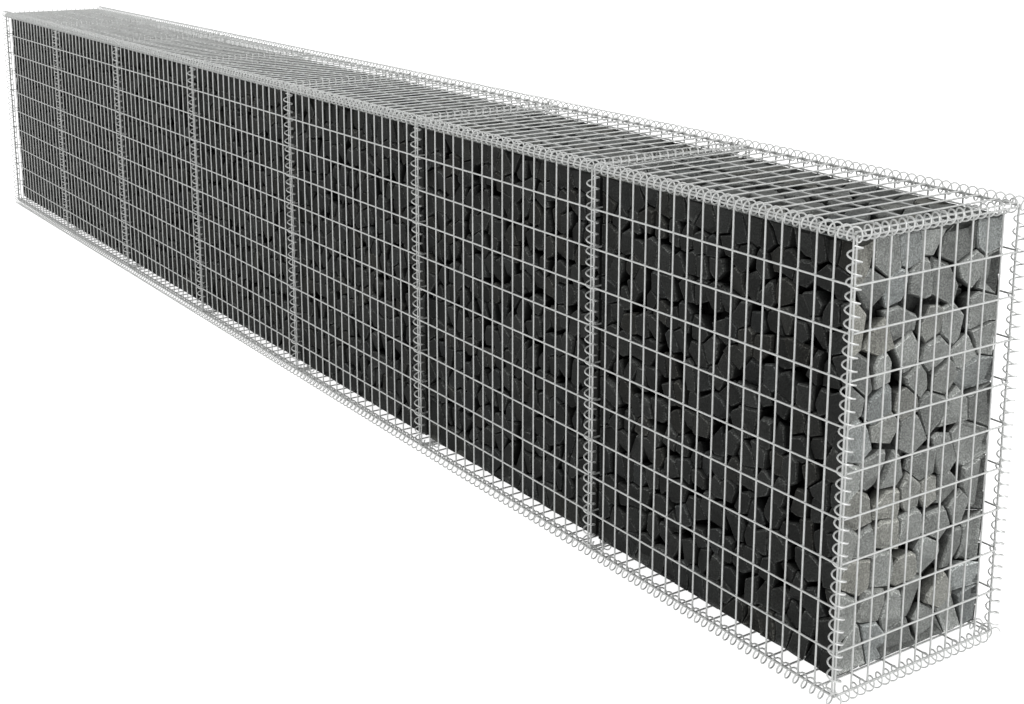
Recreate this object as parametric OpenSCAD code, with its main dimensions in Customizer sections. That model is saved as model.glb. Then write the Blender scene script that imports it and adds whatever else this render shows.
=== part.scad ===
// Gabion wall: a row of welded mesh baskets, laced together with wire spirals and filled with stone.
// +X runs along the wall, +Y points to the back and +Z up. The origin is on the ground, under the
// middle of the wall. The spiral axes are the edges of one long box, and each panel hangs between
// them in the plane of two axes.

/* [Wall] */
// Number of bays along the wall
bays = 7; // [2:1:7]
// Mesh of one bay along the wall, edge wire to edge wire
bay_length = 850; // [500:50:1050]
// Mesh from front to back, edge wire to edge wire
mesh_depth = 500; // [300:50:700]
// Mesh from base to top, edge wire to edge wire
mesh_height = 1000; // [500:50:1200]

/* [Mesh] */
// Spacing wanted between the close wires
close_pitch = 50; // [40:1:75]
// Spacing wanted between the wide wires
wide_pitch = 100; // [75:1:150]
// Mesh wire diameter
wire_d = 4.5; // [3:0.1:6]
// Length of wire past the middle of the edge wire that it is welded to
wire_stub = 1; // [0.5:0.5:2]
// Clearance between the bars of panels that share an edge
panel_clear = 0.25; // [0.1:0.05:1]

/* [Spirals] */
// Outer diameter of a spiral
spiral_d = 34; // [26:1:50]
// Spiral wire diameter
spiral_wire_d = 4; // [3:0.1:5]
// Gap between the end of a spiral and the side of the next one
spiral_end_gap = 1; // [0.5:0.5:10]
// Sides of the tube that stands for a spiral
spiral_sides = 8; // [8:4:12]

/* [Stone] */
// Clearance between the stone and the outside of the spirals
stone_clear = 9; // [2:1:40]
// Clearance between the stone and the mesh of a partition
partition_clear = 6; // [2:1:20]

/* [Hidden] */
// Mesh wires are square bars with the section area of the round wire. Bars that cross lie flat on
// each other, one layer to each side of the panel's middle plane.
bar = wire_d * sqrt(PI) / 2;
// Edge bars stand back this far from the spiral axis, so that panels at an edge clear each other.
setback = 1.5 * bar + panel_clear;

bay_pitch = bay_length + 2 * setback;
axis_length = bays * bay_pitch;
axis_depth = mesh_depth + 2 * setback;
axis_height = mesh_height + 2 * setback;

spiral_r = spiral_d / 2;
// The tube of a spiral starts this far from the middle plane of a panel that it laces.
lacing_cut = bar + panel_clear;
long_spiral_length = axis_length + spiral_d;
upright_spiral_length = axis_height - spiral_d - 2 * spiral_end_gap;
cross_spiral_length = axis_depth - spiral_d - 2 * spiral_end_gap;

// The wall stands on its lowest spirals, and everything is flipped about its middle height.
mid_z = spiral_r + axis_height / 2;
outer_stone_inset = spiral_r + stone_clear;
partition_stone_inset = bar + partition_clear;

galvanised = [0.76, 0.77, 0.77];
spiral_grey = [0.84, 0.85, 0.85];
stone_grey = [0.33, 0.34, 0.34];

FRONT = -1;
BACK = 1;
BASE = -1;
LID = 1;
LEFT = -1;
RIGHT = 1;

function numbered(name, count) = [for (i = [1 : count]) str(name, "_", i)];

// Joint 0 is the wall's left edge and the last joint its right edge. Bay i ends at joint i.
function joint_x(i) = i * bay_pitch - axis_length / 2;
function bay_x(i) = (joint_x(i - 1) + joint_x(i)) / 2;

// Places of evenly spaced bars from one edge bar to the other, as near as can be to a pitch
function spaced(span, pitch) =
    let (cells = round(span / pitch))
    [for (i = [0 : cells]) (i / cells - 0.5) * span];

// Mesh in the XY plane. Bars along Y are on the +Z side where layer is 1, and below where it is -1.
module mesh_panel(size_x, size_y, pitch_x, pitch_y, layer)
    color(galvanised) union() {
        for (x = spaced(size_x, pitch_x))
            translate([x, 0, layer * bar / 2])
                cube([bar, size_y + 2 * wire_stub, bar], center = true);
        for (y = spaced(size_y, pitch_y))
            translate([0, y, -layer * bar / 2])
                cube([size_x + 2 * wire_stub, bar, bar], center = true);
    }

// Upright panel along the wall. Its level bars are outside, and its upright bars inside.
module face_panel(i, side)
    translate([bay_x(i), side * axis_depth / 2, mid_z])
        rotate([90, 0, 0])
            mesh_panel(bay_length, mesh_height, close_pitch, wide_pitch, side);

// Upright panel across the wall at a joint, with its level bars on the given side
module cross_panel(i, side)
    translate([joint_x(i), 0, mid_z])
        rotate([90, 0, 90])
            mesh_panel(mesh_depth, mesh_height, close_pitch, wide_pitch, -side);

// Level panel, with the bars that run across the wall outside
module level_panel(i, side)
    translate([bay_x(i), 0, mid_z + side * axis_height / 2])
        mesh_panel(bay_length, mesh_depth, close_pitch, wide_pitch, side);

module stone_fill(i) {
    left = joint_x(i - 1) + (i == 1 ? outer_stone_inset : partition_stone_inset);
    right = joint_x(i) - (i == bays ? outer_stone_inset : partition_stone_inset);
    depth = axis_depth - 2 * outer_stone_inset;
    height = axis_height - 2 * outer_stone_inset;
    color(stone_grey)
        translate([(left + right) / 2, 0, mid_z])
            cube([right - left, depth, height], center = true);
}

// Regular outline with a flat on each side, at a given distance from the middle
module flat_sided(apothem)
    rotate(180 / spiral_sides)
        circle(r = apothem / cos(180 / spiral_sides), $fn = spiral_sides);

// Tube along Z that stands for a spiral. The children are cut away, where the panels come in.
module spiral_tube(length)
    color(spiral_grey)
        linear_extrude(height = length, center = true)
            difference() {
                flat_sided(spiral_r);
                flat_sided(spiral_r - spiral_wire_d);
                children();
            }

// Tube at an edge of the wall, open to the quarter between -X and +Y
module edge_tube(length)
    spiral_tube(length)
        translate([lacing_cut - 2 * spiral_d, -lacing_cut])
            square(2 * spiral_d);

// Tube at a joint between bays, open to the half towards +Y
module joint_tube(length)
    spiral_tube(length)
        translate([-spiral_d, -lacing_cut])
            square(2 * spiral_d);

// Moves what is drawn for the right, front and base of the wall to other sides of it
module on_sides(x_side, y_side, z_side)
    translate([0, 0, mid_z])
        mirror([x_side == RIGHT ? 0 : 1, 0, 0])
            mirror([0, y_side == FRONT ? 0 : 1, 0])
                mirror([0, 0, z_side == BASE ? 0 : 1])
                    children();

// Spiral along the whole wall, at one of its four long edges
module long_spiral(y_side, z_side)
    on_sides(RIGHT, y_side, z_side)
        translate([0, -axis_depth / 2, -axis_height / 2])
            rotate([0, 90, 0])
                edge_tube(long_spiral_length);

// The two upright and the two cross spirals that hold an end panel
module end_spirals(x_side) {
    for (y_side = [FRONT, BACK])
        on_sides(x_side, y_side, BASE)
            translate([axis_length / 2, -axis_depth / 2, 0])
                edge_tube(upright_spiral_length);
    for (z_side = [BASE, LID])
        on_sides(x_side, FRONT, z_side)
            translate([axis_length / 2, 0, -axis_height / 2])
                rotate([90, 0, 0])
                    edge_tube(cross_spiral_length);
}

// The same four around a partition, where two bays meet
module joint_spirals(i)
    translate([joint_x(i), 0, 0]) {
        for (y_side = [FRONT, BACK])
            on_sides(RIGHT, y_side, BASE)
                translate([0, -axis_depth / 2, 0])
                    joint_tube(upright_spiral_length);
        for (z_side = [BASE, LID])
            on_sides(RIGHT, FRONT, z_side)
                translate([0, 0, -axis_height / 2])
                    rotate([90, 0, 0])
                        joint_tube(cross_spiral_length);
    }

for (i = [1 : bays]) {
    face_panel(i, FRONT);
    face_panel(i, BACK);
    level_panel(i, LID);
    level_panel(i, BASE);
    stone_fill(i);
}
for (i = [1 : bays - 1]) {
    cross_panel(i, RIGHT);
    joint_spirals(i);
}
cross_panel(0, LEFT);  // left_end_panel
cross_panel(bays, RIGHT);  // right_end_panel
long_spiral(FRONT, BASE);  // base_front_spiral
long_spiral(BACK, BASE);  // base_back_spiral
long_spiral(FRONT, LID);  // top_front_spiral
long_spiral(BACK, LID);  // top_back_spiral
end_spirals(LEFT);  // left_end_spirals
end_spirals(RIGHT);  // right_end_spirals
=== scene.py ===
"""Visual model of a gabion wall: a row of welded mesh baskets, laced with wire spirals, full of stone.

Sizes are in metres and angles in radians. +X runs along the wall, +Y points to the back and +Z up. The
panels, spirals and stones take their places from the boxes of the CAD nodes that they stand for.
"""

import logging
import math
from dataclasses import dataclass, field, replace
from enum import Enum

import bpy
import numpy as np
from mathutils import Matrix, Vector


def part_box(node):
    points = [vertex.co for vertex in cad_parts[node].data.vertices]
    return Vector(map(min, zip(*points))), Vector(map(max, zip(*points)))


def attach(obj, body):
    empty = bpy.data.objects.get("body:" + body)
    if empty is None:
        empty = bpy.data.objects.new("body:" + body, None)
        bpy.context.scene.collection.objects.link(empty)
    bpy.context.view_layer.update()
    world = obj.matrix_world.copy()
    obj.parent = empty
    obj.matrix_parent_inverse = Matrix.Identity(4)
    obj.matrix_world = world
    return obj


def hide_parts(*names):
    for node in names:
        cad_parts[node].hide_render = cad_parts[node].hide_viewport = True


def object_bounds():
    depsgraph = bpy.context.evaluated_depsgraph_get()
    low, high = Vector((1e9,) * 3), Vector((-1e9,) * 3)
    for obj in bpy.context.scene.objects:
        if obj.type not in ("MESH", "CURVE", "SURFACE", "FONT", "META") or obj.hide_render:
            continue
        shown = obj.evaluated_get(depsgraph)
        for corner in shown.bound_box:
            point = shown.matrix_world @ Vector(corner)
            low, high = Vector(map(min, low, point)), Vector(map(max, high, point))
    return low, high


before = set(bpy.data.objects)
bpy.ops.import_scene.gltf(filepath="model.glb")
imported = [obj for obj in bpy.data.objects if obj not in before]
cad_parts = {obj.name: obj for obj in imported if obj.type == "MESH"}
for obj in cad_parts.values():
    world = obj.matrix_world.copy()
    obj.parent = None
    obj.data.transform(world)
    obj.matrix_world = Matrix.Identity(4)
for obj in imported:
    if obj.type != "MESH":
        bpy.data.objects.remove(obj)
CAD_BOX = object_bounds()

BODY = "root"
WHITE = (1.0, 1.0, 1.0, 1.0)
BAYS = sum(name.startswith("stone_fill_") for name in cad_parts)

log = logging.getLogger("gabion_wall")


def node_box(node: str) -> tuple[np.ndarray, np.ndarray]:
    """Gives the lowest and highest corner of a CAD node as arrays."""
    low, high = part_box(node)
    return np.array(low), np.array(high)


# ---------------------------------------------------------------------------------------------------------
# Surfaces
# ---------------------------------------------------------------------------------------------------------


@dataclass
class Surface:
    """Points and faces of one or more closed bodies.

    Attributes:
        points: Places of the vertices, one row each.
        quads: Faces with four corners, as rows of vertex numbers.
        tris: Faces with three corners, as rows of vertex numbers.
        marks: A value for each vertex under each name, for the finishes to read.
    """

    points: np.ndarray
    quads: np.ndarray
    tris: np.ndarray
    marks: dict[str, np.ndarray] = field(default_factory=dict)

    @staticmethod
    def joined(surfaces: list["Surface"]) -> "Surface":
        """Joins surfaces into one.

        Args:
            surfaces: The surfaces, which all have the same marks.

        Returns:
            One surface that holds all their bodies.
        """
        starts = np.cumsum([0] + [len(s.points) for s in surfaces[:-1]])
        return Surface(
            np.concatenate([s.points for s in surfaces]),
            np.concatenate([s.quads + start for s, start in zip(surfaces, starts)]),
            np.concatenate([s.tris + start for s, start in zip(surfaces, starts)]),
            {name: np.concatenate([s.marks[name] for s in surfaces]) for name in surfaces[0].marks},
        )

    def to_object(self, name: str, sharp_angle: float) -> bpy.types.Object:
        """Puts the surface into a mesh object at the origin.

        Args:
            name: Name of the piece.
            sharp_angle: Edges that bend more than this many radians stay sharp.

        Returns:
            The new object, linked to the scene.
        """
        mesh = bpy.data.meshes.new(name)
        corners = np.concatenate([self.quads.ravel(), self.tris.ravel()])
        sizes = np.concatenate([np.full(len(self.quads), 4), np.full(len(self.tris), 3)])
        mesh.vertices.add(len(self.points))
        mesh.vertices.foreach_set("co", self.points.astype(np.float32).ravel())
        mesh.loops.add(len(corners))
        mesh.loops.foreach_set("vertex_index", corners.astype(np.int32))
        mesh.polygons.add(len(sizes))
        mesh.polygons.foreach_set("loop_start", (np.cumsum(sizes) - sizes).astype(np.int32))
        mesh.update(calc_edges=True)
        mesh.validate()
        mesh.shade_smooth()
        mesh.set_sharp_from_angle(angle=sharp_angle)
        for mark, values in self.marks.items():
            attribute = mesh.attributes.new(mark, "FLOAT", "POINT")
            attribute.data.foreach_set("value", values.astype(np.float32))
        piece = bpy.data.objects.new(name, mesh)
        bpy.context.scene.collection.objects.link(piece)
        return piece


def stacked_rings(start: np.ndarray, rings: np.ndarray, end: np.ndarray) -> Surface:
    """Makes closed bodies, each from a stack of rings with a point at either end.

    Formula: quads join each ring to the next, side by side, and a fan of triangles joins the first ring to
    the start point and the last ring to the end point.

    Args:
        start: Start points, as an array (bodies, 3).
        rings: Ring points, as an array (bodies, rings, sides, 3). Seen from the start, each ring runs
            anticlockwise.
        end: End points, as an array (bodies, 3).

    Returns:
        The bodies as one surface, with its faces outwards.
    """
    bodies, count, sides = rings.shape[:3]
    points = np.concatenate([start[:, None], end[:, None], rings.reshape(bodies, -1, 3)], axis=1)
    number = np.arange(count * sides).reshape(count, sides) + 2
    after = np.roll(number, -1, axis=1)
    quads = np.stack([number[:-1], number[1:], after[1:], after[:-1]], axis=-1).reshape(-1, 4)
    fan = np.stack([np.zeros(sides, int), number[0], after[0]], axis=-1)
    back_fan = np.stack([np.ones(sides, int), after[-1], number[-1]], axis=-1)
    tris = np.concatenate([fan, back_fan])
    first = (np.arange(bodies) * points.shape[1])[:, None, None]
    return Surface(points.reshape(-1, 3), (quads + first).reshape(-1, 4), (tris + first).reshape(-1, 3))


def rods(starts: np.ndarray, ends: np.ndarray, diameter: float, sides: int) -> Surface:
    """Makes straight round wires with cut ends.

    Formula: a circle, carried from the start of the wire to its end.

    Args:
        starts: Start points, as an array (wires, 3).
        ends: End points, as an array (wires, 3). All the wires run the same way.
        diameter: Diameter of the wire.
        sides: Sides of the circle.

    Returns:
        The wires as one surface.
    """
    along = (ends[0] - starts[0]) / np.linalg.norm(ends[0] - starts[0])
    first = np.roll(np.abs(along).round(), 1)
    second = np.cross(first, along)
    turn = np.linspace(0, 2 * np.pi, sides, endpoint=False)[:, None]
    circle = diameter / 2 * (np.cos(turn) * first + np.sin(turn) * second)
    rings = np.stack([starts, ends], axis=1)[:, :, None] + circle
    return stacked_rings(starts, rings, ends)


# ---------------------------------------------------------------------------------------------------------
# Welded mesh
# ---------------------------------------------------------------------------------------------------------


class PanelPlane(Enum):
    """How a mesh panel stands in the wall.

    The values are the axis that the close wires are spread over, the axis that they run along, the axis
    across the panel, and the layer of the close wires, 1 outside and -1 inside.
    """

    FACE = (0, 2, 1, -1)
    LEVEL = (0, 1, 2, 1)
    CROSS = (1, 2, 0, -1)


@dataclass
class MeshPanel:
    """One welded mesh panel of round wires in two layers.

    Attributes:
        node: CAD node that the panel stands for.
        plane: How the panel stands in the wall.
        outside: 1 where the panel's outside faces the plus way of the axis across it, or -1.
        close_pitch: Spacing of the close wires.
        wide_pitch: Spacing of the wide wires.
        wire_stub: Length of wire past the middle of the edge wire.
        weld_sink: How far crossing wires sink into each other at a weld.
        weld_reach: Half the length of the zinc that fills the corners of a crossing.
        weld_depth: Half the height of that zinc.
        sides: Sides of a wire.
    """

    node: str
    plane: PanelPlane
    outside: int
    close_pitch: float = 0.05
    wide_pitch: float = 0.1
    wire_stub: float = 0.001
    weld_sink: float = 0.0005
    weld_reach: float = 0.0047
    weld_depth: float = 0.0022
    sides: int = 10

    def build(self) -> Surface:
        """Makes the wires and the weld at each crossing.

        Formula: a CAD bar has the section area of the round wire, so the wire's diameter is the bar's width
        times 2 over the root of pi. Each weld is a flat diamond between the two layers, with its corners
        between the wires.

        Returns:
            The panel as one surface.
        """
        spread, run, normal, close_layer = self.plane.value
        low, high = node_box(self.node)
        bar = (high[normal] - low[normal]) / 2
        wire_d = bar * 2 / math.sqrt(math.pi)
        close_places = self._places(low[spread] + bar / 2, high[spread] - bar / 2, self.close_pitch)
        wide_places = self._places(low[run] + bar / 2, high[run] - bar / 2, self.wide_pitch)
        layer = self.outside * close_layer * (wire_d - self.weld_sink) / 2
        middle = (low[normal] + high[normal]) / 2
        crossings = np.full((len(close_places), len(wide_places), 3), middle)
        crossings[:, :, spread] = close_places[:, None]
        crossings[:, :, run] = wide_places
        stub = self.wire_stub
        along_run, along_spread, across = np.eye(3)[[run, spread, normal]]
        close = rods(
            crossings[:, 0] + across * layer - along_run * stub,
            crossings[:, -1] + across * layer + along_run * stub,
            wire_d,
            self.sides,
        )
        wide = rods(
            crossings[0] - across * layer - along_spread * stub,
            crossings[-1] - across * layer + along_spread * stub,
            wire_d,
            self.sides,
        )
        return Surface.joined([close, wide, self._welds(crossings.reshape(-1, 3), spread, run)])

    def _places(self, first: float, last: float, pitch: float) -> np.ndarray:
        """Gives evenly spaced places from the first to the last, as near as can be to a pitch."""
        return np.linspace(first, last, round((last - first) / pitch) + 1)

    def _welds(self, crossings: np.ndarray, spread: int, run: int) -> Surface:
        """Makes the diamond of zinc at each crossing.

        Args:
            crossings: Middle of each crossing, as an array (crossings, 3).
            spread: Axis that the close wires are spread over.
            run: Axis that the close wires run along.

        Returns:
            The welds as one surface.
        """
        first = (np.eye(3)[spread] + np.eye(3)[run]) / math.sqrt(2)
        second = (np.eye(3)[run] - np.eye(3)[spread]) / math.sqrt(2)
        up = np.cross(first, second) * self.weld_depth
        ring = np.stack([first, second, -first, -second]) * self.weld_reach
        return stacked_rings(crossings + up, crossings[:, None, None] + ring, crossings - up)


# ---------------------------------------------------------------------------------------------------------
# Spirals
# ---------------------------------------------------------------------------------------------------------


class Hand(Enum):
    """Way that a spiral winds."""

    LEFT = -1
    RIGHT = 1


@dataclass
class Spiral:
    """One wire spiral around an edge of the wall.

    Attributes:
        start: Start of its axis.
        end: End of its axis.
        outward: Way that the wire points from the axis at a whole turn.
        places: Places along the axis, from its start, at which the turn is known.
        turns: The turn at each of those places.
        diameter: Diameter over the wire.
        wire_d: Diameter of the wire.
        hand: Way that it winds.
        steps: Straight steps in a turn.
        sides: Sides of the wire.
    """

    start: np.ndarray
    end: np.ndarray
    outward: np.ndarray
    places: np.ndarray
    turns: np.ndarray
    diameter: float
    wire_d: float = 0.004
    hand: Hand = Hand.LEFT
    steps: int = 14
    sides: int = 6

    def build(self) -> Surface:
        """Makes the spiral.

        Formula: the wire's middle goes round the axis once for each turn, at a steady distance, while its
        place along the axis follows the turn. A circle is carried along it, square to it.

        Returns:
            The spiral as one surface.
        """
        length = np.linalg.norm(self.end - self.start)
        axis = (self.end - self.start) / length
        outward = self.outward / np.linalg.norm(self.outward)
        sideways = np.cross(axis, outward)
        first, last = np.interp([self.wire_d / 2, length - self.wire_d / 2], self.places, self.turns)
        turn = np.linspace(first, last, round((last - first) * self.steps) + 1)[:, None]
        place = np.interp(turn, self.turns, self.places)
        angle = self.hand.value * 2 * np.pi * turn
        radial = np.cos(angle) * outward + np.sin(angle) * sideways
        middle = self.start + place * axis + radial * (self.diameter - self.wire_d) / 2
        along = np.gradient(middle, axis=0)
        along /= np.linalg.norm(along, axis=1, keepdims=True)
        second = np.cross(radial, along)
        around = np.linspace(0, 2 * np.pi, self.sides, endpoint=False)[:, None]
        circle = np.cos(around) * radial[:, None] + np.sin(around) * second[:, None]
        rings = middle[:, None] + circle * self.wire_d / 2
        return stacked_rings(middle[:1], rings[None], middle[-1:])


@dataclass
class Lacing:
    """All the spirals of the wall, worked out from the long spirals and the panels that they lace.

    A spiral's whole turns fall on the wires of the panels, where it is at its outermost, so that it goes
    into the mesh between the wires.

    Attributes:
        turns_in_opening: Turns of a level spiral in one opening of the close wires.
        turns_over_joint: Turns from the last wire but one of a bay to the second wire of the next.
        turns_in_wide_opening: Turns of an upright spiral in one opening of the wide wires.
        joint_lag: Part of a turn by which an upright spiral at a joint lags, to pass the partition's wires.
        close_pitch: Spacing of the close wires.
        wide_pitch: Spacing of the wide wires.
        end_gap: Gap between the end of a spiral and the side of the next one.
        diameter: Diameter of every spiral over its wire.
        front: Depth of the front spirals' axes.
        back: Depth of the back spirals' axes.
        base: Height of the base spirals' axes.
        top: Height of the top spirals' axes.
        left: Left end of the long spirals.
        right: Right end of the long spirals.
    """

    turns_in_opening: int = 2
    turns_over_joint: int = 4
    turns_in_wide_opening: float = 3.5
    joint_lag: float = 0.125
    close_pitch: float = 0.05
    wide_pitch: float = 0.1
    end_gap: float = 0.001
    diameter: float = field(init=False)
    front: float = field(init=False)
    back: float = field(init=False)
    base: float = field(init=False)
    top: float = field(init=False)
    left: float = field(init=False)
    right: float = field(init=False)

    def __post_init__(self) -> None:
        """Reads the axes and the diameter of the spirals from the CAD nodes."""
        low, high = node_box("base_front_spiral")
        self.diameter = high[2] - low[2]
        self.front = (low[1] + high[1]) / 2
        self.base = (low[2] + high[2]) / 2
        self.left, self.right = low[0], high[0]
        low, high = node_box("top_back_spiral")
        self.back = (low[1] + high[1]) / 2
        self.top = (low[2] + high[2]) / 2

    @property
    def middle(self) -> np.ndarray:
        """Depth and height of the middle of the wall."""
        return np.array([self.front + self.back, self.base + self.top]) / 2

    def long_spiral(self, y: float, z: float) -> Surface:
        """Makes a spiral along the whole wall.

        Formula: the turn rises evenly between the second wire and the last but one of each bay, and evenly
        over each joint from one bay to the next.

        Args:
            y: Depth of its axis.
            z: Height of its axis.

        Returns:
            The spiral as one surface.
        """
        places, turns = [], []
        turn = 0.0
        for bay in range(1, BAYS + 1):
            low, high = node_box(f"front_panel_{bay}")
            bar = (high[1] - low[1]) / 2
            first, last = low[0] + bar / 2, high[0] - bar / 2
            cells = round((last - first) / self.close_pitch)
            cell = (last - first) / cells
            places += [first + cell, last - cell]
            turns += [turn, turn + (cells - 2) * self.turns_in_opening]
            turn = turns[-1] + self.turns_over_joint
        pitch = self.close_pitch / self.turns_in_opening
        before = (places[0] - self.left) / pitch
        after = (self.right - places[-1]) / pitch
        places = np.array([self.left, *places, self.right])
        turns = np.array([turns[0] - before, *turns, turns[-1] + after])
        outward = np.array([0, *np.sign([y, z] - self.middle)])
        ends = np.array([[self.left, y, z], [self.right, y, z]])
        return Spiral(ends[0], ends[1], outward, places - self.left, turns, self.diameter).build()

    def bay_edge(self, node: str, outward_x: int) -> Surface:
        """Makes the two upright and the two cross spirals at a joint or an end of the wall.

        Args:
            node: CAD node that holds them.
            outward_x: -1 at the left end, 1 at the right end and 0 at a joint.

        Returns:
            The four spirals as one surface.
        """
        low, high = node_box(node)
        x = (low[0] + high[0]) / 2
        clear = self.diameter / 2 + self.end_gap
        upright_pitch = self.wide_pitch / self.turns_in_wide_opening
        cross_pitch = self.close_pitch / self.turns_in_opening
        lag = 0.0 if outward_x else self.joint_lag
        middle_y, middle_z = self.middle
        spirals = []
        for y, y_side in ((self.front, -1), (self.back, 1)):
            ends = np.array([[x, y, self.base + clear], [x, y, self.top - clear]])
            outward = np.array([outward_x, y_side, 0])
            spirals.append(self._even(ends, outward, middle_z - ends[0, 2], upright_pitch, lag))
        for z, z_side in ((self.base, -1), (self.top, 1)):
            ends = np.array([[x, self.front + clear, z], [x, self.back - clear, z]])
            outward = np.array([outward_x, 0, z_side])
            spirals.append(self._even(ends, outward, middle_y - ends[0, 1], cross_pitch, 0.0))
        return Surface.joined(spirals)

    def _even(self, ends: np.ndarray, outward: np.ndarray, wire: float, pitch: float, lag: float) -> Surface:
        """Makes a spiral of one pitch.

        Args:
            ends: Start and end of its axis.
            outward: Way that the wire points from the axis at a whole turn.
            wire: Place of a mesh wire along the axis, where a turn is whole.
            pitch: Length of a turn.
            lag: Part of a turn by which the spiral lags.

        Returns:
            The spiral as one surface.
        """
        places = np.array([0.0, np.linalg.norm(ends[1] - ends[0])])
        turns = (places - wire) / pitch - lag
        return Spiral(ends[0], ends[1], outward, places, turns, self.diameter).build()


# ---------------------------------------------------------------------------------------------------------
# Stone
# ---------------------------------------------------------------------------------------------------------


class StoneFace(Enum):
    """A side of the stone, as the way across it and the way up it."""

    FRONT = ((1, 0, 0), (0, 0, 1))
    BACK = ((-1, 0, 0), (0, 0, 1))
    RIGHT = ((0, 1, 0), (0, 0, 1))
    LEFT = ((0, -1, 0), (0, 0, 1))
    LID = ((1, 0, 0), (0, 1, 0))
    BASE = ((1, 0, 0), (0, -1, 0))

    @property
    def across(self) -> np.ndarray:
        """Way across the side, to the right of someone who looks at it."""
        return np.array(self.value[0], float)

    @property
    def up(self) -> np.ndarray:
        """Way up the side."""
        return np.array(self.value[1], float)

    @property
    def out(self) -> np.ndarray:
        """Way out of the stone."""
        return np.cross(self.across, self.up)


# Ways out of a layer's middle to its right, left, top and bottom edge
EDGE_WAYS = np.array([[1.0, 0.0], [-1.0, 0.0], [0.0, 1.0], [0.0, -1.0]])


class StoneSide(Enum):
    """Which sides of the wall a stone is on, as the mark by which its finish paints light and shade."""

    FACE = 0.0
    LEVEL = 0.5
    END = 1.0


@dataclass
class Outlines:
    """The outlines of the stones of a layer, each measured from the stone's middle.

    Attributes:
        corners: Corners, as an array (stones, corners, 2), anticlockwise.
        cut: Whether each corner lies on a plane that cuts the layer across and up, in the same shape.
        edge_part: How much of a bevel is left next to a cutting plane.
    """

    corners: np.ndarray
    cut: np.ndarray
    edge_part: float = 0.3

    def shrunk(self, share: np.ndarray | float) -> np.ndarray:
        """Gives the corners drawn in to a share of their reach, and less so next to a cutting plane."""
        near = np.where(self.on_edge[:, :, None], 1 - (1 - share) * self.edge_part, share)
        return self.corners * np.where(self.cut, 1.0, near)

    @property
    def on_edge(self) -> np.ndarray:
        """Whether each corner lies on a cutting plane, as an array (stones, corners)."""
        return self.cut.any(axis=2)


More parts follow.
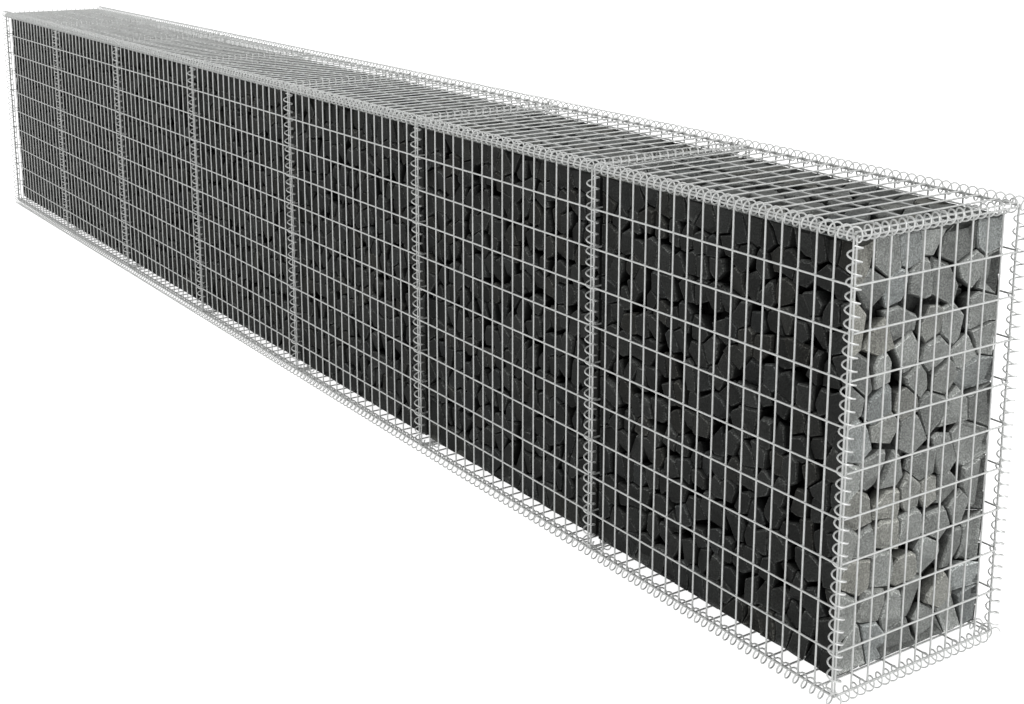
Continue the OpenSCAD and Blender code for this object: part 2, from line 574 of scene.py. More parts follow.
@dataclass
class StoneLayer:
    """One layer of packed angular stones behind a side of a bay.

    Attributes:
        face: Side that the layer lies behind.
        middle: Middle of the layer's outer plane.
        size: Size across and up.
        stone: Mean width and height of a stone.
        mitred: Whether the layer meets another one at its right, left, top and bottom edge.
        depth: Least depth of a stone behind the outer plane.
        depth_spread: How much deeper a stone may be.
        gap: Gap between neighbouring stones at their widest.
        recess: How far a stone may lie back from the outer plane. Few lie far back.
        jitter: How far a stone may lie from its even place, as a part of its size.
        edge_share: Least distance of a stone's middle from the layer's edge, as a part of its size.
        chops: Corners that are struck off the outline of a stone, unless it lies on the layer's edge.
        chop_reach: Least and greatest distance of a chop from the middle, as a part of half the stone's size.
        corners: Corners of an outline.
        rays: Rays from a stone's middle that look for its corners.
        bevel: Least and greatest width of the bevel, as a part of the reach.
        broad_bevel: How much wider the bevel is on one side of the stone.
        broad_turn: Mean way of that side, as a turn from across to up.
        broad_spread: How much that way differs from stone to stone.
        bevel_slope: Least and greatest depth of the bevel, as a part of its width.
        bevel_depth: Depth that the bevel has at least.
        tilt: Greatest tilt of a front, as a slope.
        creases: Faces that are struck off a front.
        crease_slope: Least and greatest slope of such a face against the front.
        crease_start: Least and greatest distance of its start from the middle, as a part of the mean reach.
        first_turn: Mean way of the first of these faces, as a turn from across to up.
        first_spread: How much that way differs from stone to stone.
        inner_share: Greatest size of the ring inside the rim, as a part of the rim.
        taper: Size of a stone's back, as a part of its outline.
        back_point: How far the middle of the back stands out.
        edge_depth: How far a stone lies back at the layer's edge, as a part of what it would.
        mitre_gap: Distance of the stones from the slanting planes in which the layer meets others.
        tone_spread: How much the tone differs from stone to stone, round a half.
        ring_rims: Nearness to the rim of the inner ring, the rim, the widest ring and the back.
        ring_painted_shades: How deep in the gaps those rings count as lying, for the painted shade there.
        layer_painted_shade: How deep the front of the stones counts as lying, for painted shade, from 0 for
            the outer layer to 1.
        side: Which sides of the wall the stones are on.
    """

    face: StoneFace
    middle: np.ndarray
    size: np.ndarray
    stone: np.ndarray
    mitred: list[bool]
    depth: float = 0.045
    depth_spread: float = 0.006
    gap: float = 0.0025
    recess: float = 0.01
    jitter: float = 0.3
    edge_share: float = 0.2
    chops: int = 3
    chop_reach: tuple[float, float] = (0.8, 1.12)
    corners: int = 9
    rays: int = 90
    bevel: tuple[float, float] = (0.05, 0.1)
    broad_bevel: float = 0.1
    broad_turn: float = math.radians(50)
    broad_spread: float = math.radians(35)
    bevel_slope: tuple[float, float] = (0.7, 1.5)
    bevel_depth: float = 0.0015
    tilt: float = 0.2
    creases: int = 2
    crease_slope: tuple[float, float] = (0.25, 0.6)
    crease_start: tuple[float, float] = (0.25, 1.1)
    first_turn: float = -1.4
    first_spread: float = 0.7
    inner_share: float = 0.85
    taper: float = 0.8
    back_point: float = 0.001
    edge_depth: float = 0.1
    mitre_gap: float = 0.0005
    tone_spread: float = 0.22
    ring_rims: tuple[float, ...] = (0.0, 1.0, 0.3, 0.0)
    ring_painted_shades: tuple[float, ...] = (0.0, 0.0, 0.2, 1.0)
    layer_painted_shade: float = 0.0
    side: StoneSide = StoneSide.FACE

    def build(self, random: np.random.Generator) -> Surface:
        """Makes the stones.

        Formula: a stone's outline is the part of the plane that is nearer to its middle than to any other
        stone's, less a gap and less its chopped corners. Its front is a tilted plane with a few faces struck
        off it and a bevel all round, and it narrows towards its back. What lies on the edge of the layer is
        cut straight.

        Args:
            random: Source of the random numbers.

        Returns:
            The stones as one surface, with their marks.
        """
        seeds = self._seeds(random)
        middles = seeds.reshape(-1, 2)
        count = len(middles)
        outlines = self._outlines(seeds, random)
        reach = np.linalg.norm(outlines.corners, axis=2)
        turn = np.arctan2(outlines.corners[:, :, 1], outlines.corners[:, :, 0])
        broad = random.normal(self.broad_turn, self.broad_spread, (count, 1))
        bevel = random.uniform(*self.bevel, (count, 1))
        bevel = bevel + self.broad_bevel * np.maximum(np.cos(turn - broad), 0)
        rim = outlines.shrunk(1 - bevel[:, :, None])
        inner, depths = self._front(rim, reach.mean(axis=1, keepdims=True), random)
        depths += self.recess * random.uniform(0, 1, (count, 1)) ** 3
        centre_depth, inner_depth, rim_depth = np.split(depths, [1, 1 + self.corners], axis=1)
        flush = np.where(outlines.on_edge, self.edge_depth, 1.0)
        rim_depth = rim_depth * flush
        slope = random.uniform(*self.bevel_slope, (count, 1))
        widest_depth = rim_depth + flush * (bevel * reach * slope + self.bevel_depth)
        back_depth = self.depth + self.depth_spread * random.uniform(0, 1, (count, 1))
        rings = [
            (inner, inner_depth),
            (rim, rim_depth),
            (outlines.corners, widest_depth),
            (outlines.shrunk(self.taper), np.broadcast_to(back_depth, reach.shape)),
        ]
        places = np.stack([np.concatenate([flat, deep[:, :, None]], axis=2) for flat, deep in rings], axis=1)
        start = np.concatenate([middles, centre_depth], axis=1)
        end = np.concatenate([middles, back_depth + self.back_point], axis=1)
        places[..., :2] += middles[:, None, None]
        surface = stacked_rings(*(self._to_wall(self._mitre(local)) for local in (start, places, end)))
        surface.marks = self._marks(count, random)
        return surface

    def _seeds(self, random: np.random.Generator) -> np.ndarray:
        """Gives the middles of the stones.

        Formula: an even grid with each second row moved half a stone across, and then a random step.

        Args:
            random: Source of the random numbers.

        Returns:
            The middles, from the middle of the layer, as an array (rows, columns, 2).
        """
        columns, rows = np.maximum(2, np.round(self.size / self.stone)).astype(int)
        column, row = np.meshgrid(np.arange(columns), np.arange(rows))
        across = (column + 0.5 + 0.25 * (-1.0) ** row) / columns - 0.5
        up = (row + 0.5) / rows - 0.5
        step = random.uniform(-self.jitter, self.jitter, (rows, columns, 2)) / [columns, rows]
        limit = 0.5 - self.edge_share / np.array([columns, rows])
        return np.clip(np.stack([across, up], axis=-1) + step, -limit, limit) * self.size

    def _outlines(self, seeds: np.ndarray, random: np.random.Generator) -> Outlines:
        """Works out the outline of each stone.

        Formula: each line that bounds an outline lies square to a direction, at a distance from the middle.
        A ray from the middle meets the outline at the least of distance over cosine. There is a corner
        between two rays that meet different lines, where those lines cross. The sharpest corners are kept,
        and points on the sides make up the number.

        Args:
            seeds: Middles of the stones, as an array (rows, columns, 2).
            random: Source of the random numbers.

        Returns:
            The outlines.
        """
        lines, limits = self._lines(seeds, random)
        turn = np.arange(self.rays) * 2 * np.pi / self.rays
        ray = np.stack([np.cos(turn), np.sin(turn)], axis=-1)
        cosine = np.einsum("slx,rx->slr", lines, ray)
        least_cosine = 0.05
        reach = np.where(cosine > least_cosine, limits[:, :, None] / np.maximum(cosine, least_cosine), np.inf)
        edges = len(EDGE_WAYS)
        chops = np.s_[-edges - self.chops : -edges]
        unchopped = np.delete(reach, chops, axis=1)
        on_edge = (unchopped.argmin(axis=1) >= unchopped.shape[1] - edges).any(axis=1)
        reach[on_edge, chops] = np.inf
        met = reach.argmin(axis=1)
        way = np.take_along_axis(lines, met[..., None], axis=1)
        distance = np.take_along_axis(limits, met, axis=1)
        next_way, next_distance = np.roll(way, -1, axis=1), np.roll(distance, -1, axis=1)
        sine = way[..., 0] * next_way[..., 1] - way[..., 1] * next_way[..., 0]
        crossing = np.stack(
            [
                distance * next_way[..., 1] - next_distance * way[..., 1],
                next_distance * way[..., 0] - distance * next_way[..., 0],
            ],
            axis=-1,
        )
        least_sine = 0.03
        sharp = sine > least_sine
        crossing /= np.where(sharp, sine, 1.0)[..., None]
        points = np.where(sharp[..., None], crossing, ray * reach.min(axis=1)[..., None])
        # A small random part chooses among the points that are no corners.
        strength = np.where(sharp, 1 - (way * next_way).sum(axis=-1), 0) + random.uniform(0, 1e-3, met.shape)
        chosen = np.sort(np.argsort(-strength, axis=1)[:, : self.corners], axis=1)
        corners = np.take_along_axis(points, chosen[..., None], axis=1)
        rounding = 1e-6
        cut = corners @ EDGE_WAYS.T > limits[:, None, -edges:] - rounding
        return Outlines(corners, cut[..., 0::2] | cut[..., 1::2])

    def _lines(self, seeds: np.ndarray, random: np.random.Generator) -> tuple[np.ndarray, np.ndarray]:
        """Gives the lines that bound the stones.

        Formula: there is a line half-way to each stone of the two rows and columns all round, less half the
        gap. The chops lie on an oval of the stone's size, times their reach. The layer's edges come last.

        Args:
            seeds: Middles of the stones, as an array (rows, columns, 2).
            random: Source of the random numbers.

        Returns:
            The ways that the lines are square to, as an array (stones, lines, 2), and their distances from
            the middle, as an array (stones, lines).
        """
        rows, columns = seeds.shape[:2]
        around, far = 2, 10.0
        padded = np.pad(seeds, ((around, around), (around, around), (0, 0)), constant_values=far)
        window = range(2 * around + 1)
        offsets = [(r, c) for r in window for c in window if (r, c) != (around, around)]
        others = np.stack([padded[r : r + rows, c : c + columns] for r, c in offsets], axis=2)
        apart = (others - seeds[:, :, None]).reshape(rows * columns, -1, 2)
        distance = np.linalg.norm(apart, axis=2)
        middles = seeds.reshape(-1, 2)
        edge_limits = np.abs(EDGE_WAYS @ self.size / 2) - middles @ EDGE_WAYS.T
        chop_turn = random.uniform(0, 2 * np.pi, (len(middles), self.chops))
        chop = np.stack([np.cos(chop_turn), np.sin(chop_turn)], axis=-1)
        oval = np.linalg.norm(self.stone * chop, axis=2) / 2
        chop_limits = oval * random.uniform(*self.chop_reach, oval.shape)
        lines = [apart / distance[:, :, None], chop, np.tile(EDGE_WAYS, (len(middles), 1, 1))]
        limits = [distance / 2 - self.gap / 2, chop_limits, edge_limits]
        return np.concatenate(lines, axis=1), np.concatenate(limits, axis=1)

    def _front(
        self, rim: np.ndarray, size: np.ndarray, random: np.random.Generator
    ) -> tuple[np.ndarray, np.ndarray]:
        """Shapes the front of each stone.

        Formula: the depth at a point is a tilted plane's, plus the greatest of a few sloping planes' that
        start part of the way out from the middle. A ring inside the rim has its points where its rays meet
        the nearest of those starts, so that each crease is a straight edge.

        Args:
            rim: Rim of the front, from the middle of the stone, as an array (stones, corners, 2).
            size: Mean reach of each stone.
            random: Source of the random numbers.

        Returns:
            The inner ring in the shape of the rim, and the depths of the middle, the inner ring and the rim,
            in that order along the second axis, with the foremost point of each stone at zero.
        """
        count = len(rim)
        tilt = np.clip(random.normal(0, self.tilt / 2, (count, 1, 2)), -self.tilt, self.tilt)
        share = np.full(rim.shape[:2], self.inner_share)
        struck = np.zeros(rim.shape[:2])
        for crease in range(self.creases):
            if crease == 0:
                turn = random.normal(self.first_turn, self.first_spread, (count, 1))
            else:
                turn = random.uniform(0, 2 * np.pi, (count, 1))
            slope = random.uniform(*self.crease_slope, (count, 1))
            edge = random.uniform(*self.crease_start, (count, 1)) * size
            out = rim[:, :, 0] * np.cos(turn) + rim[:, :, 1] * np.sin(turn)
            share = np.minimum(share, edge / np.maximum(out, edge))
            struck = np.maximum(struck, slope * (out - edge))
        inner = rim * share[:, :, None]
        rim_depth = (rim * tilt).sum(axis=2) + struck
        inner_depth = (inner * tilt).sum(axis=2)
        depths = np.concatenate([np.zeros((count, 1)), inner_depth, rim_depth], axis=1)
        return inner, depths - depths.min(axis=1, keepdims=True)

    def _mitre(self, local: np.ndarray) -> np.ndarray:
        """Keeps points clear of the slanting planes in which the layer meets its neighbours.

        Formula: such a plane starts at the edge of the layer and comes in as far as it goes deep.

        Args:
            local: Points, given as across, up and depth.

        Returns:
            The points, moved in to the planes where they lay past them.
        """
        inward = np.array(self.mitred) * (local[..., 2:] + self.mitre_gap)
        high = self.size / 2 - inward[..., [0, 2]]
        low = inward[..., [1, 3]] - self.size / 2
        return np.concatenate([np.clip(local[..., :2], low, high), local[..., 2:]], axis=-1)

    def _to_wall(self, local: np.ndarray) -> np.ndarray:
        """Turns points given as across, up and depth into places in the wall."""
        axes = np.stack([self.face.across, self.face.up, -self.face.out])
        return local @ axes + self.middle

    def _marks(self, count: int, random: np.random.Generator) -> dict[str, np.ndarray]:
        """Gives each vertex its stone's tone, tint and side, its nearness to the rim and its painted shade
        depth.

        Args:
            count: Number of stones.
            random: Source of the random numbers.

        Returns:
            The values of tone, tint, side, rim and deep, in the order of the surface's points.
        """
        rim = np.concatenate([[0.0, 0.0], np.repeat(self.ring_rims, self.corners)])
        # The deep mark paints shade in the gaps between the stones and over the whole second layer.
        deep = np.concatenate([[0.0, 1.0], np.repeat(self.ring_painted_shades, self.corners)])
        tone = np.clip(random.normal(0.5, self.tone_spread, count), 0, 1)
        return {
            "tone": np.repeat(tone, len(rim)),
            "tint": np.repeat(random.uniform(0, 1, count), len(rim)),
            "side": np.full(count * len(rim), self.side.value),
            "rim": np.tile(rim, count),
            "deep": np.tile(np.maximum(deep, self.layer_painted_shade), count),
        }


@dataclass(frozen=True)
class StoneKind:
    """The stones on two opposite sides of the wall.

    Attributes:
        side: Which sides these are.
        stone: Mean width and height of a stone.
        chop_reach: Least and greatest distance of a chop from the middle, as a part of half the stone's size.
        layer_painted_shade: How deep the second layer counts as lying, for painted shade, from 0 to 1.
    """

    side: StoneSide
    stone: tuple[float, float]
    chop_reach: tuple[float, float]
    layer_painted_shade: float


@dataclass
class StoneFill:
    """The stone of one bay: two layers of stones behind each side that shows, and a rough core.

    Attributes:
        bay: Number of the bay, from the left.
        layer: Thickness that a layer takes up.
        partition_gap: Gap between the stone and the middle of a partition.
        face_kind: Stones of the front and the back.
        level_kind: Stones of the lid and the base.
        end_kind: Stones of the ends of the wall.
        second_growth: How much wider the stones of the second layer are.
        second_corners: Corners of the outline of a stone of the second layer.
        core_rings: Rings along the core.
        core_sides: Points round the core.
        core_rough: Greatest step of a point of the core.
        core_end: Distance of the core's end from the end of the stone at a partition.
    """

    bay: int
    layer: float = 0.055
    partition_gap: float = 0.006
    face_kind: StoneKind = StoneKind(StoneSide.FACE, (0.048, 0.066), chop_reach=(0.74, 1.06), layer_painted_shade=0.9)
    level_kind: StoneKind = StoneKind(StoneSide.LEVEL, (0.056, 0.07), chop_reach=(0.78, 1.1), layer_painted_shade=0.85)
    end_kind: StoneKind = StoneKind(StoneSide.END, (0.073, 0.078), chop_reach=(0.84, 1.14), layer_painted_shade=0.6)
    second_growth: float = 1.2
    second_corners: int = 6
    core_rings: int = 18
    core_sides: int = 40
    core_rough: float = 0.008
    core_end: float = 0.01

    def build(self) -> Surface:
        """Makes the stones of the bay.

        Returns:
            The stones as one surface.
        """
        random = np.random.default_rng(self.bay)
        low, high = self._limits()
        at_left, at_right = self.bay == 1, self.bay == BAYS
        sides = [StoneFace.FRONT, StoneFace.BACK, StoneFace.LID, StoneFace.BASE]
        sides += [StoneFace.LEFT] * at_left + [StoneFace.RIGHT] * at_right
        layers = []
        for order in range(2):
            inset = self.layer * order
            inner_low = low + [inset * at_left, inset, inset]
            inner_high = high - [inset * at_right, inset, inset]
            layers += [self._layer(side, inner_low, inner_high, order, random) for side in sides]
        layers.append(self._core(low, high, random))
        return Surface.joined(layers)

    def _limits(self) -> tuple[np.ndarray, np.ndarray]:
        """Works out how far the stone reaches.

        Returns:
            The lowest and highest corner of the CAD block, moved out to the partitions less their gap.
        """
        low, high = node_box(f"stone_fill_{self.bay}")
        if self.bay > 1:
            low[0] = np.mean(node_box(f"partition_panel_{self.bay - 1}"), axis=0)[0] + self.partition_gap
        if self.bay < BAYS:
            high[0] = np.mean(node_box(f"partition_panel_{self.bay}"), axis=0)[0] - self.partition_gap
        return low, high

    def _layer(
        self, face: StoneFace, low: np.ndarray, high: np.ndarray, order: int, random: np.random.Generator
    ) -> Surface:
        """Makes one layer behind one side of a box.

        Args:
            face: Side of the box.
            low: Lowest corner of the box.
            high: Highest corner.
            order: 0 for the outer layer and 1 for the second.
            random: Source of the random numbers.

        Returns:
            The layer as one surface.
        """
        size = high - low
        middle = (low + high) / 2 + face.out * np.abs(size @ face.out) / 2
        ways = np.stack([face.across, -face.across, face.up, -face.up])
        # Along the wall, a layer meets another one at the ends of the wall, and none at a partition.
        meets = {-1: self.bay == 1, 0: True, 1: self.bay == BAYS}
        mitred = [meets[int(way[0])] for way in ways]
        kind = self._kind(face)
        layer = StoneLayer(
            face,
            middle,
            np.abs([size @ face.across, size @ face.up]),
            np.array(kind.stone),
            mitred,
            chop_reach=kind.chop_reach,
            side=kind.side,
        )
        if order:
            layer = replace(
                layer,
                stone=layer.stone * self.second_growth,
                corners=self.second_corners,
                creases=0,
                layer_painted_shade=kind.layer_painted_shade,
            )
        return layer.build(random)

    def _kind(self, face: StoneFace) -> StoneKind:
        """Gives the kind of the stones on a side.

        Args:
            face: The side.

        Returns:
            The kind of its stones.
        """
        if face in (StoneFace.FRONT, StoneFace.BACK):
            return self.face_kind
        return self.level_kind if face in (StoneFace.LID, StoneFace.BASE) else self.end_kind

    def _core(self, low: np.ndarray, high: np.ndarray, random: np.random.Generator) -> Surface:
        """Makes the rough core that closes the view between the stones, painted in deep shade.

        Formula: a stack of rings round the length of the bay, each an oval drawn out into a box, with a
        random step at each point.

        Args:
            low: Lowest corner of the bay's stone.
            high: Highest corner.
            random: Source of the random numbers.

        Returns:
            The core as one surface, with marks that paint it in deep shade.
        """
        inset = self.layer * 2
        low = low + [inset if self.bay == 1 else self.core_end, inset, inset]
        high = high - [inset if self.bay == BAYS else self.core_end, inset, inset]
        half, middle = (high - low) / 2, (low + high) / 2
        turn = np.linspace(0, 2 * np.pi, self.core_sides, endpoint=False)
        square = 1 / np.maximum(np.abs(np.cos(turn)), np.abs(np.sin(turn)))
        around = np.stack([-np.cos(turn) * square * half[1], np.sin(turn) * square * half[2]], axis=-1)
        along = middle[0] + np.linspace(-half[0], half[0], self.core_rings)
        points = np.zeros((1, self.core_rings, self.core_sides, 3))
        points[..., 0] = along[:, None]
        points[..., 1:] = around + middle[1:]
        points += random.uniform(-self.core_rough, self.core_rough, points.shape)
        ends = np.array([[along[0], middle[1], middle[2]], [along[-1], middle[1], middle[2]]])
        surface = stacked_rings(ends[:1], points, ends[1:])
        # Painted shade: the core takes the darkest marks, for the shade deep inside the basket.
        core_painted_shade_marks = {"tone": 0.0, "tint": 0.5, "side": StoneSide.FACE.value, "rim": 0.0, "deep": 1.0}
        surface.marks = {name: np.full(len(surface.points), value) for name, value in core_painted_shade_marks.items()}
        return surface


# ---------------------------------------------------------------------------------------------------------
# Finishes
# ---------------------------------------------------------------------------------------------------------


@dataclass
class NodeBench:
    """Places shader nodes in a tree and joins them.

    Attributes:
        tree: The node tree.
    """

    tree: bpy.types.NodeTree

    def node(self, kind: str, **settings: object) -> bpy.types.Node:
        """Places a node.

        Args:
            kind: Kind of the node.
            **settings: Its properties.

        Returns:
            The new node.
        """
        made = self.tree.nodes.new(kind)
        for name, value in settings.items():
            setattr(made, name, value)
        return made

    def feed(self, node: bpy.types.Node, **inputs: object) -> bpy.types.Node:
        """Sets or links the inputs of a node.

        Args:
            node: The node.
            **inputs: Values or output sockets. An underscore in a name stands for a space, and a name such
                as at_1 stands for the input of that number.

        Returns:
            The same node.
        """
        for name, value in inputs.items():
            key = int(name[3:]) if name.startswith("at_") else name.replace("_", " ")
            if isinstance(value, bpy.types.NodeSocket):
                self.tree.links.new(value, node.inputs[key])
            else:
                node.inputs[key].default_value = value
        return node

    def math(self, operation: str, *values: object) -> bpy.types.NodeSocket:
        """Places a Math node.

        Args:
            operation: What it works out.
            *values: Numbers or sockets to work on.

        Returns:
            The socket of the result.
        """
        made = self.node("ShaderNodeMath", operation=operation)
        self.feed(made, **{f"at_{i}": value for i, value in enumerate(values)})
        return made.outputs[0]

    def ramp(self, factor: bpy.types.NodeSocket, stops: list[tuple[float, tuple]]) -> bpy.types.NodeSocket:
        """Gives the colour of a ramp at a factor.

        Args:
            factor: Place on the ramp.
            stops: Places and their colours.

        Returns:
            The colour socket.
        """
        made = self.node("ShaderNodeValToRGB")
        elements = made.color_ramp.elements
        while len(elements) < len(stops):
            elements.new(1.0)
        for element, (place, colour) in zip(elements, stops):
            element.position = place
            element.color = (*colour, 1.0)
        self.feed(made, Fac=factor)
        return made.outputs["Color"]

    def noise(
        self, vector: bpy.types.NodeSocket, scale: object, detail: float, roughness: float = 0.5
    ) -> bpy.types.NodeSocket:
        """Gives the factor of a Noise Texture.

        Args:
            vector: Place in the pattern.
            scale: Number or socket, the patches in a metre.
            detail: Finer layers of the noise.
            roughness: How strong the finer layers are.

        Returns:
            The factor socket.
        """
        made = self.node("ShaderNodeTexNoise")
        self.feed(made, Vector=vector, Scale=scale, Detail=detail, Roughness=roughness)
        return made.outputs["Fac"]

    def rise(self, value: bpy.types.NodeSocket, start: float, end: float) -> bpy.types.NodeSocket:
        """Gives a smooth rise from 0 to 1.

        Args:
            value: The value that it follows.
            start: Value at which it is 0.
            end: Value at which it is 1.

        Returns:
            The socket of the rise.
        """
        made = self.node("ShaderNodeMapRange", interpolation_type="SMOOTHSTEP")
        self.feed(made, Value=value, From_Min=start, From_Max=end)
        return made.outputs["Result"]

    def facing_up(self) -> bpy.types.NodeSocket:
        """Gives how far the surface faces up.

        Returns:
            A socket that goes from -1, straight down, to 1, straight up.
        """
        parts = self.node("ShaderNodeSeparateXYZ")
        self.feed(parts, at_0=self.node("ShaderNodeNewGeometry").outputs["Normal"])
        return parts.outputs["Z"]

    def bump(self, height: bpy.types.NodeSocket, depth: float, strength: float) -> bpy.types.NodeSocket:
        """Roughens the surface.

        Args:
            height: Height of the surface, from 0 to 1.
            depth: Length that a height of 1 stands for.
            strength: Strength of the effect, from 0 to 1.

        Returns:
            The socket of the new normal.
        """
        made = self.node("ShaderNodeBump")
        self.feed(made, Height=height, Distance=depth, Strength=strength)
        return made.outputs["Normal"]


def new_material(name: str) -> tuple[bpy.types.Material, NodeBench, bpy.types.Node]:
    """Starts a material.

    Args:
        name: Name of the material.

    Returns:
        The material, a bench on its tree, and its Principled shader.
    """
    material = bpy.data.materials.new(name)
    material.use_nodes = True
    return material, NodeBench(material.node_tree), material.node_tree.nodes["Principled BSDF"]


def shader_group(
    name: str, inputs: dict[str, float], outputs: list[str]
) -> tuple[NodeBench, dict[str, bpy.types.NodeSocket], bpy.types.Node]:
    """Starts a shader node group with a vector input, number inputs and number outputs.

    Args:
        name: Name of the group.
        inputs: Names of the number inputs and their default values.
        outputs: Names of the number outputs.

    Returns:
        A bench on the group's tree, its input sockets by name, and its output node.
    """
    tree = bpy.data.node_groups.new(name, "ShaderNodeTree")
    tree.interface.new_socket("Vector", in_out="INPUT", socket_type="NodeSocketVector")
    for key, value in inputs.items():
        socket = tree.interface.new_socket(key, in_out="INPUT", socket_type="NodeSocketFloat")
        socket.default_value = value
    for key in outputs:
        tree.interface.new_socket(key, in_out="OUTPUT", socket_type="NodeSocketFloat")
    bench = NodeBench(tree)
    source = bench.node("NodeGroupInput")
    return bench, {socket.name: socket for socket in source.outputs}, bench.node("NodeGroupOutput")


def grain_group() -> bpy.types.NodeTree:
    """Makes the group for fine grain: a speckle and the height of a rough skin.

    Returns:
        The group, with Size, and outputs Speckle and Height from 0 to 1.
    """
    bench, given, result = shader_group("fine_grain", {"Size": 0.002}, ["Speckle", "Height"])
    fine_share, coarse_share = 0.35, 0.22
    fine_scale = bench.math("DIVIDE", 1.0, given["Size"])
    coarse_scale = bench.math("MULTIPLY", fine_scale, coarse_share)
    fine = bench.noise(given["Vector"], fine_scale, detail=3.0, roughness=0.65)
    coarse = bench.noise(given["Vector"], coarse_scale, detail=4.0, roughness=0.6)
    height = bench.math("MULTIPLY_ADD", fine, fine_share, bench.math("MULTIPLY", coarse, 1 - fine_share))
    bench.feed(result, Speckle=bench.rise(fine, 0.38, 0.64), Height=height)
    return bench.tree


def mottle_group() -> bpy.types.NodeTree:
    """Makes the group for slow patches of tone.

    Returns:
        The group, with Size and Depth, and an output Factor around 1.
    """
    bench, given, result = shader_group("slow_mottle", {"Size": 0.05, "Depth": 0.2}, ["Factor"])
    noise = bench.noise(given["Vector"], bench.math("DIVIDE", 1.0, given["Size"]), detail=2.0)
    swing = bench.math("MULTIPLY", bench.math("SUBTRACT", noise, 0.5), given["Depth"])
    bench.feed(result, Factor=bench.math("MULTIPLY_ADD", swing, 2.0, 1.0))
    return bench.tree


def dust_and_top_light_group() -> bpy.types.NodeTree:
    """Makes the group for dust settled on what faces up, which the stone also uses as painted top light.

    Returns:
        The group, with Amount, and an output Mask from 0 to 1.
    """
    bench, given, result = shader_group("settled_dust_and_top_light", {"Amount": 0.3}, ["Mask"])
    patches_in_metre = 60.0
    patches = bench.noise(given["Vector"], patches_in_metre, detail=3.0)
    mask = bench.math("MULTIPLY", bench.rise(bench.facing_up(), 0.1, 0.9), patches)
    bench.feed(result, Mask=bench.math("MULTIPLY", mask, given["Amount"]))
    return bench.tree


@dataclass
class EffectGroups:
    """The shader node groups that the finishes share, each made once.

    Attributes:
        grain: Fine grain.
        mottle: Slow patches of tone.
        dust: Settled dust, which on the stone is also painted top light.
    """

    grain: bpy.types.NodeTree = field(default_factory=grain_group)
    mottle: bpy.types.NodeTree = field(default_factory=mottle_group)
    dust: bpy.types.NodeTree = field(default_factory=dust_and_top_light_group)

    def place(self, bench: NodeBench, group: bpy.types.NodeTree, **inputs: object) -> bpy.types.Node:
        """Places a group in a material, on the piece's Object coordinates.

        Args:
            bench: Bench on the material's tree.
            group: One of the groups.
            **inputs: Its number inputs.

        Returns:
            The group node.
        """
        coordinates = bench.node("ShaderNodeTexCoord").outputs["Object"]
        return bench.feed(bench.node("ShaderNodeGroup", node_tree=group), Vector=coordinates, **inputs)


@dataclass(frozen=True)
class ZincFinish:
    """Galvanised wire: dull zinc with a faint spangle.

    Attributes:
        name: Name of the material, and of the record's slot.
        colour: Colour of the clean zinc.
        roughness: Mean roughness.
        metallic: How much of a mirror the zinc is, from 0 to 1.
        spangle: Size of a crystal in the zinc.
        spangle_tone: How much the tone differs from crystal to crystal.
        spangle_rough: How much the roughness differs from crystal to crystal.
        patch: Size of a slow patch of tone.
        patch_tone: How much the tone differs from patch to patch.
        dust: Amount of dust.
        dust_shade: Brightness of the dust, as a part of the zinc's.
        dust_rough: Roughness that the dust adds.
        grain: Size of the grain.
        grain_depth: Depth of the grain.
        grain_strength: Strength of its bump.
    """

    name: str
    colour: tuple[float, float, float]
    roughness: float
    metallic: float = 0.5
    spangle: float = 0.006
    spangle_tone: float = 0.14
    spangle_rough: float = 0.12
    patch: float = 0.03
    patch_tone: float = 0.12
    dust: float = 0.25
    dust_shade: float = 0.86
    dust_rough: float = 0.4
    grain: float = 0.0008
    grain_depth: float = 0.0001
    grain_strength: float = 0.15

    def material(self, effects: EffectGroups) -> bpy.types.Material:
        """Makes the material.

        Args:
            effects: The shared node groups.

        Returns:
            The material.
        """
        material, bench, shader = new_material(self.name)
        crystals = bench.node("ShaderNodeTexVoronoi")
        coordinates = bench.node("ShaderNodeTexCoord").outputs["Object"]
        bench.feed(crystals, Vector=coordinates, Scale=1 / self.spangle)
        crystal = bench.node("ShaderNodeSeparateColor")
        bench.feed(crystal, Color=crystals.outputs["Color"])
        patches = effects.place(bench, effects.mottle, Size=self.patch, Depth=self.patch_tone)
        grain = effects.place(bench, effects.grain, Size=self.grain)
        dust = effects.place(bench, effects.dust, Amount=self.dust).outputs["Mask"]
        least_tone = 1 - self.spangle_tone / 2
        tone = bench.math("MULTIPLY_ADD", crystal.outputs["Red"], self.spangle_tone, least_tone)
        tone = bench.math("MULTIPLY", tone, patches.outputs["Factor"])
        grey = bench.node("ShaderNodeCombineColor")
        for channel, share in zip(("Red", "Green", "Blue"), self.colour):
            bench.feed(grey, **{channel: bench.math("MULTIPLY", tone, share)})
        dusty = tuple(self.dust_shade * share for share in self.colour)
        colour = bench.node("ShaderNodeMix", data_type="RGBA")
        bench.feed(colour, at_0=dust, at_6=grey.outputs["Color"], at_7=(*dusty, 1.0))
        least_rough = self.roughness - self.spangle_rough / 2
        rough = bench.math("MULTIPLY_ADD", crystal.outputs["Green"], self.spangle_rough, least_rough)
        rough = bench.math("MULTIPLY_ADD", dust, self.dust_rough, rough)
        normal = bench.bump(grain.outputs["Height"], self.grain_depth, self.grain_strength)
        bench.feed(shader, Base_Color=colour.outputs[2], Roughness=rough, Normal=normal)
        bench.feed(shader, Metallic=self.metallic)
        return material


